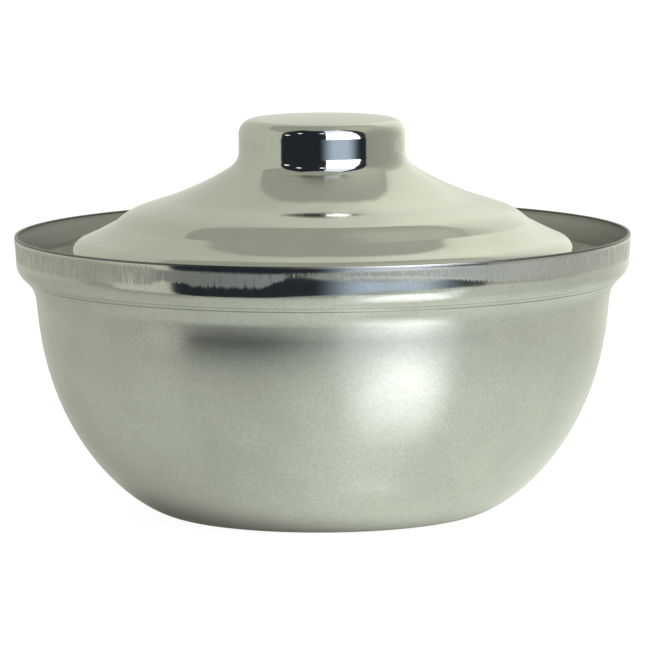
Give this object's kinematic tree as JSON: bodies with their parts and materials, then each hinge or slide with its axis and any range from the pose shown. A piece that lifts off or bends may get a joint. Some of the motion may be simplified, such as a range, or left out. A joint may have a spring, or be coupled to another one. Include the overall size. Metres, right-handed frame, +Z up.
{
  "type": "lidded camping pot",
  "caption": "Small round sheet-metal camping pot with a stepped collar and a domed lift-off lid whose hollow knob is pressed in one with it.",
  "frame": {"origin": "centre of the flat base, on the surface that the pot stands on", "axes": "+Z is up along the axis that both pieces are turned about; the picture looks along +Y"},
  "size_m": [0.1508, 0.1508, 0.0973],
  "materials": {
    "bowl_steel": "satin drawn steel",
    "lid_steel": "polished pressed steel"
  },
  "bodies": {
    "bowl": {"bowl": "bowl_steel"},
    "lid": {"lid": "lid_steel"}
  },
  "joints": [
    {"name": "lid_lift", "type": "slide", "parent": "bowl", "child": "lid", "axis": [0, 0, 1], "range_m": [0, 0.08]}
  ]
}
